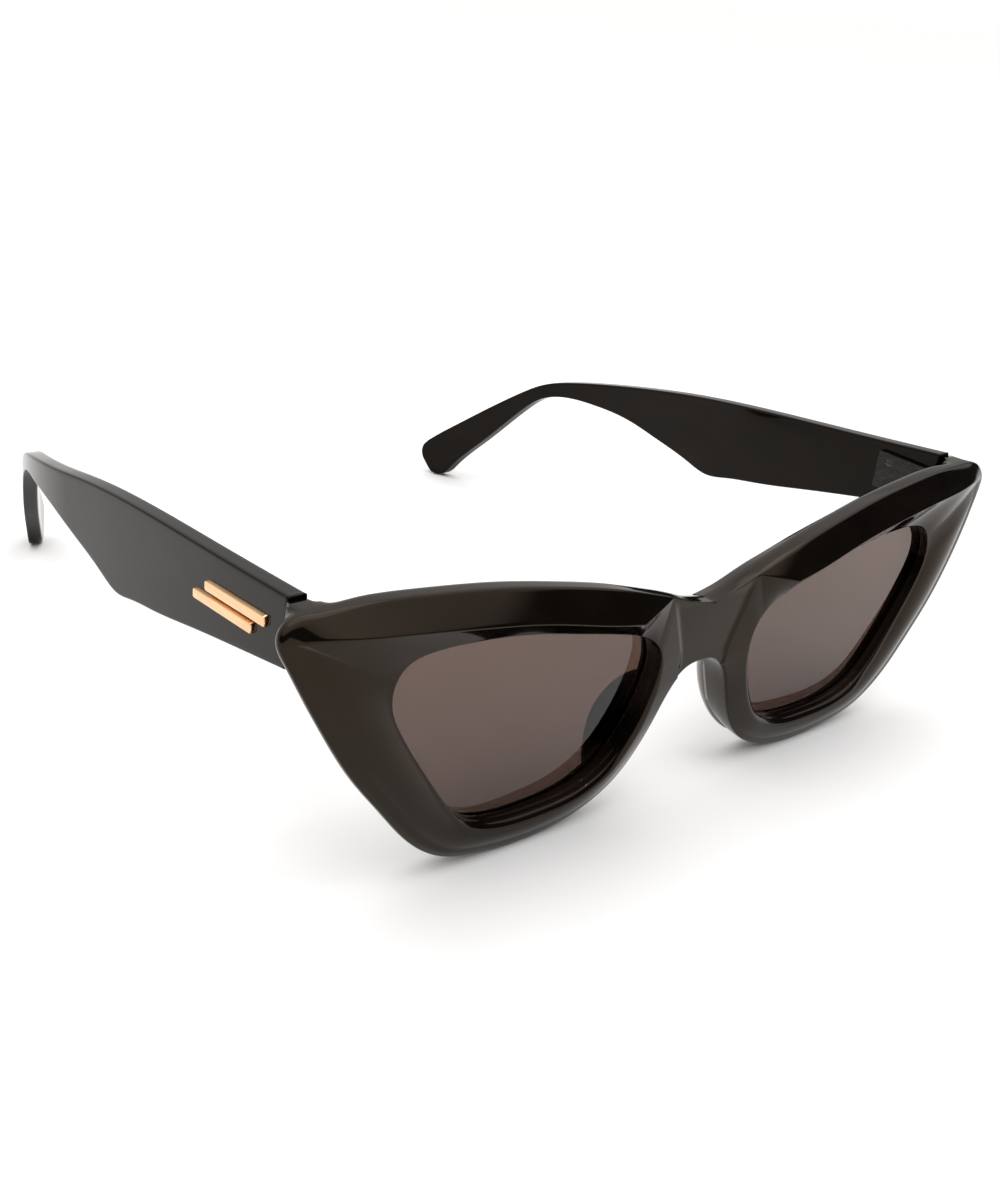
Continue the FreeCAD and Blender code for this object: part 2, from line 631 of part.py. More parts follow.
feature("front_frame", front_shape, FRONT_PLACE)
LEFT = [
    feature("lens_left", lens_shape, FRONT_PLACE),
    feature("nose_pad_left", pad_shape, FRONT_PLACE),
    feature("temple_left", temple_shape, TEMPLE_PLACE),
    build_front_hinge(),
    build_temple_hinge(),
    build_hinge_screw(),
    feature("front_leaf_screws_left", front_plate_screws(), FRONT_PLACE),
    feature("temple_leaf_screws_left", temple_plate_screws(), TEMPLE_PLACE),
    build_bar("upper"),
    build_bar("lower"),
]
doc.recompute()
for source in LEFT:
    mirror_piece(source.Label.replace("_left", "_right"), source)
doc.recompute()

# ---------------------------------------------------------------- checks and export
for item in doc.Objects:
    if "Invalid" in item.State or "Error" in item.State:
        raise RuntimeError("%s did not compute: %s" % (item.Label, item.State))
for name, part in PIECES:
    if part.Shape.isNull() or not part.Shape.isValid():
        raise RuntimeError("%s has no valid shape" % name)
    part.Shape.exportStep("parts/%s.step" % name)
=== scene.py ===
import json
import math
from collections import namedtuple

import bmesh
import bpy
import numpy as np
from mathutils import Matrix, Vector


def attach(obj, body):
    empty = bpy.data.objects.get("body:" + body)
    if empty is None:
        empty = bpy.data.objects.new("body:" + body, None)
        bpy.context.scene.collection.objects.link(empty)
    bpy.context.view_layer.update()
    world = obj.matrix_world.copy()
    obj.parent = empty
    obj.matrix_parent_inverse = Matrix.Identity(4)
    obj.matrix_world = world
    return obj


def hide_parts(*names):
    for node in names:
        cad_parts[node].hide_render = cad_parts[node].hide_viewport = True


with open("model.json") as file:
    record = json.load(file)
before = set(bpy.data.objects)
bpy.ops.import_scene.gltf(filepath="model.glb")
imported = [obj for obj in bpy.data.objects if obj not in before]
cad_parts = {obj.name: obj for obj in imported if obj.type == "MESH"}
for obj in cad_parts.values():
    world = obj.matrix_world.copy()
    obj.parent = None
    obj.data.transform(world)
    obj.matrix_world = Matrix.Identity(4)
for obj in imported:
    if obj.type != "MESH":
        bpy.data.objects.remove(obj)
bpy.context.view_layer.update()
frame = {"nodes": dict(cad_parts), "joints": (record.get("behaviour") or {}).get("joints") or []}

# Cat-eye sunglasses. Shapes are drawn in millimetres in the front's own frame: +X is the wearer's
# left, the front faces -Y, z = 0 is the middle of the lenses. place() turns and moves them so that
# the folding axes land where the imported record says, and gives metres.

# ------------------------------------------------------------------ frame of the drawing
FOLD = {joint["name"]: joint for joint in frame["joints"]}["left_temple_fold"]
LEAN = math.atan2(-FOLD["axis"][1], FOLD["axis"][2])
TURN = np.array([
    [1.0, 0.0, 0.0],
    [0.0, math.cos(LEAN), -math.sin(LEAN)],
    [0.0, math.sin(LEAN), math.cos(LEAN)],
])
HINGE = np.array([62.4, 8.6, 15.75])
ORIGIN = np.array(FOLD["pos_m"]) * 1000.0 - TURN @ HINGE
TEMPLE_YAW = math.radians(1.1)


def place(points):
    """Drawing millimetres to metres in the row frame."""
    return (np.asarray(points, float) @ TURN.T + ORIGIN) / 1000.0


# ------------------------------------------------------------------ curves


def spline_tangents(knots, points, closed):
    """Tangents of the smooth cubic spline through the points."""
    count = len(points)
    steps = np.diff(knots)
    matrix = np.zeros((count, count))
    right = np.zeros_like(points)
    last = count - 1
    for i in range(count):
        if not closed and i in (0, last):
            j = 0 if i == 0 else last - 1
            matrix[i, i] = 2.0
            matrix[i, 1 if i == 0 else last - 1] = 1.0
            right[i] = 3.0 * (points[j + 1] - points[j]) / steps[j]
            continue
        before = steps[i - 1] if i else steps[-1]
        after = steps[i] if i < last else steps[0]
        previous = i - 1 if i else last - 1
        following = i + 1 if i < last else 1
        matrix[i, previous] += 1.0 / before
        matrix[i, i] += 2.0 / before + 2.0 / after
        matrix[i, following] += 1.0 / after
        right[i] = 3.0 * (
            (points[i] - points[previous]) / before**2 + (points[following] - points[i]) / after**2
        )
    return np.linalg.solve(matrix, right)


class Curve:
    """Smooth curve through points, read by its share of the length."""

    def __init__(self, points, closed=False, samples=3000):
        self.closed = closed
        points = np.array(points, float)
        if closed:
            points = np.vstack([points, points[:1]])
        knots = np.concatenate([[0.0], np.cumsum(np.linalg.norm(np.diff(points, axis=0), axis=1))])
        tangents = spline_tangents(knots, points, closed)
        lengths = np.linspace(0.0, knots[-1], samples)
        i = np.clip(np.searchsorted(knots, lengths, side="right") - 1, 0, len(knots) - 2)
        step = (knots[i + 1] - knots[i])[:, None]
        u = ((lengths - knots[i]) / step[:, 0])[:, None]
        self.line = (
            (2 * u**3 - 3 * u**2 + 1) * points[i]
            + (u**3 - 2 * u**2 + u) * step * tangents[i]
            + (3 * u**2 - 2 * u**3) * points[i + 1]
            + (u**3 - u**2) * step * tangents[i + 1]
        )
        steps = np.linalg.norm(np.diff(self.line, axis=0), axis=1)
        self.lengths = np.concatenate([[0.0], np.cumsum(steps)])
        self.length = self.lengths[-1]

    def at(self, length):
        length = np.asarray(length, float)
        return np.stack([np.interp(length, self.lengths, column) for column in self.line.T], axis=-1)

    def near(self, point):
        """Length along the curve of the place nearest to a point."""
        gaps = np.linalg.norm(self.line[:, :2] - np.array(point[:2]), axis=1)
        return float(self.lengths[np.argmin(gaps)])


def smoothstep(low, high, value):
    u = np.clip((np.asarray(value, float) - low) / (high - low), 0.0, 1.0)
    return u * u * (3.0 - 2.0 * u)


# ------------------------------------------------------------------ meshes
MERGE_DISTANCE = 2e-6


def rounded(corners, radii, corner_steps, edge_steps, closed=True):
    """Sections of points with their corners rounded.

    corners is (sections, corners, 3) and radii (sections, corners). Each corner becomes a short
    curve of corner_steps points and each edge gets edge_steps points between its curves. Gives the
    points and, for each of them, the edge that it is on (or -1) and how far along that edge."""
    count = corners.shape[1]
    before = np.roll(corners, 1, axis=1)
    after = np.roll(corners, -1, axis=1)
    if not closed:
        before[:, 0] = corners[:, 0]
        after[:, -1] = corners[:, -1]
    back = np.linalg.norm(before - corners, axis=2)
    ahead = np.linalg.norm(after - corners, axis=2)
    cut_back = np.minimum(radii, 0.48 * back) / np.maximum(back, 1e-9)
    cut_ahead = np.minimum(radii, 0.48 * ahead) / np.maximum(ahead, 1e-9)
    start = corners + (before - corners) * cut_back[..., None]
    end = corners + (after - corners) * cut_ahead[..., None]
    out, edges, shares = [], [], []
    for k in range(count):
        for u in np.linspace(0.0, 1.0, corner_steps[k]) if corner_steps[k] > 1 else (0.5,):
            point = (1 - u) ** 2 * start[:, k] + 2 * u * (1 - u) * corners[:, k] + u * u * end[:, k]
            out.append(point)
            edges.append(-1)
            shares.append(0.0)
        if k == count - 1 and not closed:
            break
        following = (k + 1) % count
        for step in range(1, edge_steps[k] + 1):
            u = step / (edge_steps[k] + 1)
            out.append((1 - u) * end[:, k] + u * start[:, following])
            edges.append(k)
            shares.append(u)
    return np.stack(out, axis=1), np.array(edges), np.array(shares)


def grid_faces(rows, columns, wrap_rows=False, skip=None):
    """Four-sided faces between rows of points; each row closes on itself."""
    faces = []
    for i in range(rows if wrap_rows else rows - 1):
        for j in range(columns):
            if skip is not None and skip[i, j]:
                continue
            a, b = i * columns + j, ((i + 1) % rows) * columns + j
            c, d = ((i + 1) % rows) * columns + (j + 1) % columns, i * columns + (j + 1) % columns
            faces.append((a, b, c, d))
    return faces


def mesh_object(name, points, faces):
    """Closed smooth mesh from points in metres: doubles merged, normals outwards."""
    mesh = bpy.data.meshes.new(name)
    built = bmesh.new()
    verts = [built.verts.new(p) for p in np.asarray(points).reshape(-1, 3)]
    for face in faces:
        if len(set(face)) == len(face):
            try:
                built.faces.new([verts[i] for i in face])
            except ValueError:
                continue
    bmesh.ops.remove_doubles(built, verts=built.verts, dist=MERGE_DISTANCE)
    bmesh.ops.dissolve_degenerate(built, edges=built.edges, dist=MERGE_DISTANCE)
    loose = [v for v in built.verts if not v.link_faces]
    bmesh.ops.delete(built, geom=loose, context="VERTS")
    bmesh.ops.recalc_face_normals(built, faces=built.faces)
    for face in built.faces:
        face.smooth = True
    built.to_mesh(mesh)
    built.free()
    obj = bpy.data.objects.new(name, mesh)
    bpy.context.scene.collection.objects.link(obj)
    even = obj.modifiers.new("even_normals", "WEIGHTED_NORMAL")
    even.mode = "FACE_AREA"
    even.keep_sharp = False
    return obj


def loft(name, sections):
    """Closed mesh through closed sections, with a cap on the first and the last."""
    rows, columns = sections.shape[:2]
    faces = grid_faces(rows, columns)
    faces.append(tuple(reversed(range(columns))))
    faces.append(tuple(range((rows - 1) * columns, rows * columns)))
    return mesh_object(name, sections.reshape(-1, 3), faces)


def mirrored(points):
    return np.asarray(points) * np.array([-1.0, 1.0, 1.0])


# ------------------------------------------------------------------ materials


def new_material(name):
    material = bpy.data.materials.new(name)
    material.use_nodes = True
    tree = material.node_tree
    shader = next(n for n in tree.nodes if n.type == "BSDF_PRINCIPLED")
    return material, tree, shader


def noise(tree, scale, detail=3.0, stretch=(1.0, 1.0, 1.0)):
    """Noise in object space, in features per metre."""
    where = tree.nodes.new("ShaderNodeTexCoord")
    mapping = tree.nodes.new("ShaderNodeMapping")
    mapping.inputs["Scale"].default_value = stretch
    texture = tree.nodes.new("ShaderNodeTexNoise")
    texture.inputs["Scale"].default_value = scale
    texture.inputs["Detail"].default_value = detail
    tree.links.new(where.outputs["Object"], mapping.inputs["Vector"])
    tree.links.new(mapping.outputs["Vector"], texture.inputs["Vector"])
    return texture


def ramp(tree, source, stops):
    node = tree.nodes.new("ShaderNodeValToRGB")
    for i, (position, colour) in enumerate(stops):
        stop = node.color_ramp.elements[i] if i < 2 else node.color_ramp.elements.new(position)
        stop.position = position
        stop.color = (*colour, 1.0)
    tree.links.new(source, node.inputs["Fac"])
    return node


def spread(tree, source, low, high):
    node = tree.nodes.new("ShaderNodeMapRange")
    node.inputs["To Min"].default_value = low
    node.inputs["To Max"].default_value = high
    tree.links.new(source, node.inputs["Value"])
    return node


def bump(tree, shader, source, distance):
    node = tree.nodes.new("ShaderNodeBump")
    node.inputs["Strength"].default_value = 1.0
    node.inputs["Distance"].default_value = distance
    tree.links.new(source, node.inputs["Height"])
    tree.links.new(node.outputs["Normal"], shader.inputs["Normal"])


def acetate(name, tint, level):
    """Polished black acetate: faint brown clouding in the depth, a hand-polished ripple on top, and a brown
    tint on its gloss that is a painted reflection of warm surroundings.
    """
    material, tree, shader = new_material(name)
    cloud = noise(tree, 90.0, 4.0, (1.0, 1.0, 1.6))
    colour = ramp(tree, cloud.outputs["Fac"], [
        (0.30, (0.0016, 0.0012, 0.0010)),
        (0.55, (0.0034, 0.0024, 0.0018)),
        (0.80, (0.0075, 0.0046, 0.0032)),
    ])
    tree.links.new(colour.outputs["Color"], shader.inputs["Base Color"])
    haze = noise(tree, 420.0, 3.0)
    rough = spread(tree, haze.outputs["Fac"], 0.035, 0.085)
    tree.links.new(rough.outputs["Result"], shader.inputs["Roughness"])
    ripple = noise(tree, 60.0, 1.0)
    bump(tree, shader, ripple.outputs["Fac"], 0.00006)
    shader.inputs["IOR"].default_value = 1.49
    shader.inputs["Specular IOR Level"].default_value = level
    # Painted reflection: the brown specular tint colours the gloss as if warm surroundings were reflected in
    # it.
    shader.inputs["Specular Tint"].default_value = (*tint, 1.0)
    return material


TINT_LOW = (0.062, 0.038, 0.032)
TINT_MIDDLE = (0.086, 0.052, 0.042)
TINT_HIGH = (0.102, 0.064, 0.050)
LENS_FOOT, LENS_HEAD = 0.004, 0.037


def lens_tint():
    """Dark brown-grey lens, a little lighter towards its upper edge."""
    material, tree, shader = new_material("tinted_lens")
    where = tree.nodes.new("ShaderNodeTexCoord")
    split = tree.nodes.new("ShaderNodeSeparateXYZ")
    tree.links.new(where.outputs["Object"], split.inputs["Vector"])
    height = tree.nodes.new("ShaderNodeMapRange")
    height.inputs["From Min"].default_value = LENS_FOOT
    height.inputs["From Max"].default_value = LENS_HEAD
    tree.links.new(split.outputs["Z"], height.inputs["Value"])
    cloud = noise(tree, 45.0, 1.0)
    mix = tree.nodes.new("ShaderNodeMath")
    mix.operation = "MULTIPLY_ADD"
    mix.inputs[1].default_value = 0.12
    tree.links.new(cloud.outputs["Fac"], mix.inputs[0])
    tree.links.new(height.outputs["Result"], mix.inputs[2])
    colour = ramp(tree, mix.outputs["Value"], [
        (0.05, TINT_LOW),
        (0.45, TINT_MIDDLE),
        (1.0, TINT_HIGH),
    ])
    tree.links.new(colour.outputs["Color"], shader.inputs["Base Color"])
    haze = noise(tree, 40.0, 1.0)
    rough = spread(tree, haze.outputs["Fac"], 0.0, 0.004)
    tree.links.new(rough.outputs["Result"], shader.inputs["Roughness"])
    shader.inputs["IOR"].default_value = 1.45
    shader.inputs["Transmission Weight"].default_value = 1.0
    return material


def metal(name, dark, light, low, high, scale, stretch, depth):
    """Metal with fine drawn lines: colour, gloss and height all follow the same lines."""
    material, tree, shader = new_material(name)
    lines = noise(tree, scale, 4.0, stretch)
    colour = ramp(tree, lines.outputs["Fac"], [(0.3, dark), (0.7, light)])
    tree.links.new(colour.outputs["Color"], shader.inputs["Base Color"])
    rough = spread(tree, lines.outputs["Fac"], low, high)
    tree.links.new(rough.outputs["Result"], shader.inputs["Roughness"])
    bump(tree, shader, lines.outputs["Fac"], depth)
    shader.inputs["Metallic"].default_value = 1.0
    return material


# One acetate in three copies: the brown specular tints are painted reflection of warm surroundings. The pad's
# stronger and the temples' weaker reflection, compared with the front, are painted light and shade.
FRONT_ACETATE = acetate("front_acetate", (1.0, 0.76, 0.56), 0.29)
TEMPLE_ACETATE = acetate("temple_acetate", (1.0, 0.88, 0.78), 0.13)
PAD_ACETATE = acetate("pad_acetate", (1.0, 0.78, 0.60), 0.45)
LENS_TINT = lens_tint()
STEEL = metal(
    "hinge_metal", (0.018, 0.017, 0.016), (0.045, 0.042, 0.039), 0.25, 0.42, 900.0, (1.0, 1.0, 8.0), 0.00002,
)
SCREW = metal(
    "screw_metal", (0.030, 0.029, 0.028), (0.070, 0.066, 0.062), 0.18, 0.32, 1500.0, (1.0, 1.0, 1.0), 0.00001,
)
GOLD = metal(
    "gold_trim", (0.78, 0.46, 0.24), (0.93, 0.62, 0.36), 0.16, 0.30, 700.0, (1.0, 0.15, 1.0), 0.00002,
)


def dress(obj, material):
    obj.data.materials.clear()
    obj.data.materials.append(material)
    return obj


# ------------------------------------------------------------------ front frame
# Outer outline of the +X half, (x, z), from the top of the bridge round to its underside.
OUTLINE = Curve([
    (0, 10.0), (4, 10.9), (8, 12.3), (13, 13.9), (20, 15.9), (28, 17.6), (38, 19.2), (48, 20.1),
    (58, 20.6), (65.5, 20.6), (69.1, 20.0), (70.6, 18.1), (69.8, 14.8), (67.4, 9.6), (64.4, 3.6),
    (60.2, -3.6), (55.8, -9.6), (52, -14.6), (48, -18.5), (43.5, -21.0), (38, -22.2), (32, -22.8),
    (26, -22.6), (20.5, -21.5), (15.5, -19.1), (11.8, -15.6), (9.3, -11.6), (7.4, -7.2),
    (5.8, -3.5), (4.2, -1.3), (2.2, -0.1), (0, 0.2),
], samples=6000)
# Lens opening of the +X side, (x, z), clockwise from the nose side.
OPENING = Curve([
    (9.9, 0.5), (10.3, 4.2), (12.7, 6.9), (18, 8.9), (26, 10.6), (34, 12.1), (42, 12.8),
    (49, 12.7), (53.6, 11.2), (55.3, 7.5), (53.7, 2.0), (50.3, -3.8), (46.2, -10.0),
    (42.2, -14.6), (37, -16.8), (29, -17.3), (21.5, -16.5), (16.6, -13.9), (13, -9.0),
    (10.8, -3.8),
], closed=True, samples=6000)
BRIDGE_EASE = 10.0
CENTRE_DEPTH, WRAP, WRAP_EASING = -1.0, 9.735e-4, 9.39e-8
DOME, TWIST = 2.339e-3, 1.858e-3
LENS_MIDDLE_X = 34.0
LENS_THICKNESS = 1.8
LENS_FRONT, LENS_TILT = 2.3, 0.035
BACK_DEPTH, NOSE_THICKENING = 4.5, 1.2
END_TAPER, TAPER_FROM, TAPER_LENGTH = 3.0, 66.0, 6.0
LEAF_SEAT, BUTT_SEAT = 7.08, 8.5


def reference(x, z):
    """Depth of the surface that the lens openings lie on: wrapped, domed and slightly twisted."""
    x = np.abs(x)
    x = np.where(x < BRIDGE_EASE, x * x / (2.0 * BRIDGE_EASE) + BRIDGE_EASE / 2.0, x)
    wrap = CENTRE_DEPTH + WRAP * x**2 - WRAP_EASING * x**4
    return wrap + DOME * z**2 + TWIST * (x - LENS_MIDDLE_X) * z


def lens_depth(x):
    """How far the front of the lens lies behind the reference."""
    return LENS_FRONT - LENS_TILT * (x - LENS_MIDDLE_X)


def back_surface(x, z):
    """Depth of the back of the front: thicker at the nose, flat where the hinge leaf sits."""
    x = np.abs(x)
    nose = (1.0 - np.minimum(x / LENS_MIDDLE_X, 1.0) ** 2) ** 2
    depth = reference(x, z) + BACK_DEPTH + NOSE_THICKENING * nose
    depth = depth - END_TAPER * (np.maximum(x - TAPER_FROM, 0.0) / TAPER_LENGTH) ** 2
    leaf = smoothstep(52.4, 53.6, x) * smoothstep(8.6, 10.3, z) * (1.0 - smoothstep(67.0, 68.6, x))
    depth = depth + leaf * (LEAF_SEAT - depth)
    butt = smoothstep(63.9, 64.3, x) * smoothstep(7.0, 9.5, z) * (1.0 - smoothstep(66.9, 68.4, x))
    return depth + butt * (BUTT_SEAT - depth)


# Edges of the flat of the face, (x, z, depth ahead of the reference as a minus).
FLANK = Curve([
    (5.2, 0.2, 0.5), (5.5, 2.2, 0.5), (6.2, 4.6, 0.5), (7.15, 7.2, 0.5), (8.1, 10.0, 0.5),
    (9.2, 12.6, 0.5),
])
BROW_END = Curve([(9.2, 12.6, 0.5), (12.7, 11.85, -0.8), (16.3, 11.0, -2.0)])
BROW = Curve([
    (16.3, 11.0, -2.0), (21.7, 11.9, -2.0), (27.2, 13.1, -2.0), (33, 14.3, -2.0), (41.8, 15.5, -2.0),
    (55.3, 16.9, -2.0), (61.5, 17.6, -2.0), (65.6, 17.9, -1.5), (68.42, 17.5, -0.6),
])
EDGE_CURVES = {"brow_end": BROW_END, "brow": BROW, "flank": FLANK, "middle": FLANK, "top": FLANK}

# A section of the front. Points are (x, z): of the opening, of the edge of the face's flat and of the
# outline. chamfer is the width and depth of the lip round the opening and lip_round its rounding, dome
# the hump of the face, face_round the rounding of the face's edge, corner the depth of the outline's
# corner and its rounding, step the drop into the bridge recess, and wall the depth to which the
# outer wall stays at full width and how far it has closed in at the back.
Station = namedtuple(
    "Station", "kind opening edge outline chamfer lip_round dome face_round corner step wall"
)
# Stations round the opening, clockwise. The kind says how the stretch up to the next one is drawn.
STATIONS = [
    Station("brow_end", (11.2, 5.7), (9.2, 12.6), (9.5, 12.75),
            (0.15, -0.05), 0.3, 0.0, 0.1, (0.62, 0.3), 0.0, (3.1, 0.9)),
    Station("brow", (15.0, 8.0), (16.3, 11.0), (18.0, 15.35),
            (0.1, -0.05), 0.3, 0.0, 0.16, (0.64, 0.35), 0.0, (3.1, 1.1)),
    Station("brow", (34.0, 12.1), (34.0, 14.45), (36.0, 18.95),
            (0.1, -0.05), 0.3, 0.0, 0.16, (0.64, 0.35), 0.0, (3.1, 1.2)),
    Station("brow", (49.0, 12.7), (54.0, 16.8), (56.0, 20.55),
            (0.1, -0.05), 0.3, 0.05, 0.16, (0.64, 0.35), 0.0, (3.1, 1.2)),
    Station("side", (54.6, 9.7), (68.42, 17.5), (70.3, 19.0),
            (0.1, -0.1), 0.35, -0.3, 0.5, (0.1, 0.9), 0.0, (1.4, 2.2)),
    Station("side", (54.9, 5.3), (67.0, 11.1), (68.0, 11.1),
            (0.1, -0.1), 0.35, -0.85, 0.9, (0.2, 1.2), 0.0, (1.3, 2.3)),
    Station("side", (50.3, -3.8), (57.0, -6.2), (58.2, -6.3),
            (0.15, -0.1), 0.35, -0.75, 0.9, (0.4, 1.4), 0.0, (1.8, 2.0)),
    Station("side", (44.6, -12.2), (48.6, -16.5), (49.4, -17.3),
            (0.4, -0.3), 0.45, -0.45, 0.9, (0.4, 1.4), 0.0, (1.8, 1.5)),
    Station("side", (40.3, -15.8), (43.0, -20.0), (43.5, -21.0),
            (0.9, -0.75), 0.5, -0.2, 0.8, (0.35, 1.4), 0.0, (1.8, 1.2)),
    Station("side", (29.0, -17.3), (29.3, -21.8), (29.3, -22.8),
            (1.0, -0.8), 0.5, -0.15, 0.8, (0.35, 1.4), 0.0, (1.8, 1.0)),
    Station("side", (18.4, -15.2), (16.2, -18.6), (15.5, -19.1),
            (1.0, -0.7), 0.45, -0.1, 0.5, (0.5, 0.9), 0.0, (2.2, 0.5)),
    Station("side", (13.0, -9.0), (9.3, -10.7), (8.9, -10.7),
            (0.9, -0.5), 0.45, -0.05, 0.25, (0.7, 0.4), 0.0, (3.0, 0.1)),
    Station("side", (10.7, -3.3), (6.2, -3.2), (5.7, -3.3),
            (0.7, -0.3), 0.4, 0.0, 0.15, (0.75, 0.3), 0.0, (3.0, 0.1)),
    Station("flank", (10.1, -0.7), (5.2, 0.2), (4.5, -1.6),
            (0.5, -0.2), 0.35, 0.0, 0.12, (0.85, 0.35), 0.2, (3.0, 0.2)),
    Station("middle", (9.9, 0.9), (5.5, 2.2), (0.0, 0.2),
            (0.4, -0.15), 0.35, 0.0, 0.15, (0.85, 0.4), 0.45, (3.1, 0.4)),
    Station("top", (10.25, 4.0), (8.1, 10.0), (0.0, 10.0),
            (0.2, -0.1), 0.3, 0.0, 0.12, (0.8, 0.3), 0.45, (3.1, 0.9)),
    Station("end", (11.2, 5.7), (9.2, 12.6), (9.5, 12.75),
            (0.15, -0.05), 0.3, 0.0, 0.1, (0.62, 0.3), 0.0, (3.1, 0.9)),
]
COLUMN_STEP = 0.42
SHORTEST_STRETCH = 4.0
FLANK_DEPTH, SIDE_DEPTH, CORNER_DEPTH = 0.5, -0.15, -0.6
SIDE_INSET, NOSE_INSET, CORNER_INSET = 1.05, 0.35, 1.35
CORNER_AT = OUTLINE.near((70.3, 19.0))
CORNER_RUN = 5.0
NOSE_FROM = OUTLINE.near((32.0, -22.8))
NOSE_TO = OUTLINE.near((8.9, -10.7))


def between(curve, first, last, shares):
    """Points of a curve at shares of the way from one of its places to another."""
    a, b = curve.near(first), curve.near(last)
    if curve.closed and b < a - 1e-6:
        b += curve.length
    lengths = a + (b - a) * shares
    if curve.closed:
        lengths = np.mod(lengths, curve.length)
    return curve.at(lengths)


def inward_normal(curve, lengths):
    """Unit directions to the right of a clockwise curve."""
    run = curve.at(lengths + 0.05) - curve.at(lengths - 0.05)
    run /= np.linalg.norm(run, axis=1)[:, None]
    return np.stack([run[:, 1], -run[:, 0]], axis=1)


def side_edge(lengths):
    """Edge of the face's flat beside the outline: closer to it at the nose, further in at the corner."""
    nose = smoothstep(NOSE_FROM, NOSE_TO, lengths)
    corner = np.clip(1.0 - (lengths - CORNER_AT) / CORNER_RUN, 0.0, 1.0)
    inset = SIDE_INSET + (NOSE_INSET - SIDE_INSET) * nose + CORNER_INSET * corner
    depth = SIDE_DEPTH + (FLANK_DEPTH - SIDE_DEPTH) * nose + corner**2 * (CORNER_DEPTH - SIDE_DEPTH)
    flat = OUTLINE.at(lengths) + inset[:, None] * inward_normal(OUTLINE, lengths)
    return np.column_stack([flat, depth])


def section_numbers(station):
    return np.array([
        *station.chamfer, station.lip_round, station.dome, station.face_round, *station.corner,
        station.step, *station.wall,
    ])


def front_columns():
    """Opening, face edge and outline points of every column, and the section's numbers there."""
    opening, edge, outline, numbers, bridge, inwards = [], [], [], [], [], []
    for here, there in zip(STATIONS[:-1], STATIONS[1:]):
        length = max(
            np.linalg.norm(np.subtract(here.outline, there.outline)),
            np.linalg.norm(np.subtract(here.opening, there.opening)),
            SHORTEST_STRETCH,
        )
        shares = np.linspace(0.0, 1.0, int(length / COLUMN_STEP) + 2)[:-1]
        opening.append(between(OPENING, here.opening, there.opening, shares))
        a, b = OUTLINE.near(here.outline), OUTLINE.near(there.outline)
        lengths = a + (b - a) * shares
        if here.kind == "middle":
            ends = np.array([here.outline, there.outline], float)
            outline.append(ends[0] + shares[:, None] * (ends[1] - ends[0]))
            inwards.append(np.column_stack([0.0 * shares, 1.0 - 2.0 * shares]))
        else:
            outline.append(OUTLINE.at(lengths))
            inwards.append(inward_normal(OUTLINE, lengths))
        if here.kind == "side":
            edge.append(side_edge(lengths))
        else:
            edge.append(between(EDGE_CURVES[here.kind], here.edge, there.edge, shares))
        first, last = section_numbers(here), section_numbers(there)
        numbers.append(first + smoothstep(0.0, 1.0, shares)[:, None] * (last - first))
        bridge.append(np.full(len(shares), here.kind == "middle"))
    return [np.concatenate(part) for part in (opening, edge, outline, numbers, bridge, inwards)]


LIP_BEHIND, LIP_INSIDE, LIP_DEPTH, LIP_WIDTH = 1.25, 1.1, 0.07, 0.08
GROOVE_ROOM, GROOVE_REACH, BACK_RIM = 0.04, 1.3, 0.35
STEP_WIDTH, STEP_SHARE = 0.9, 0.6


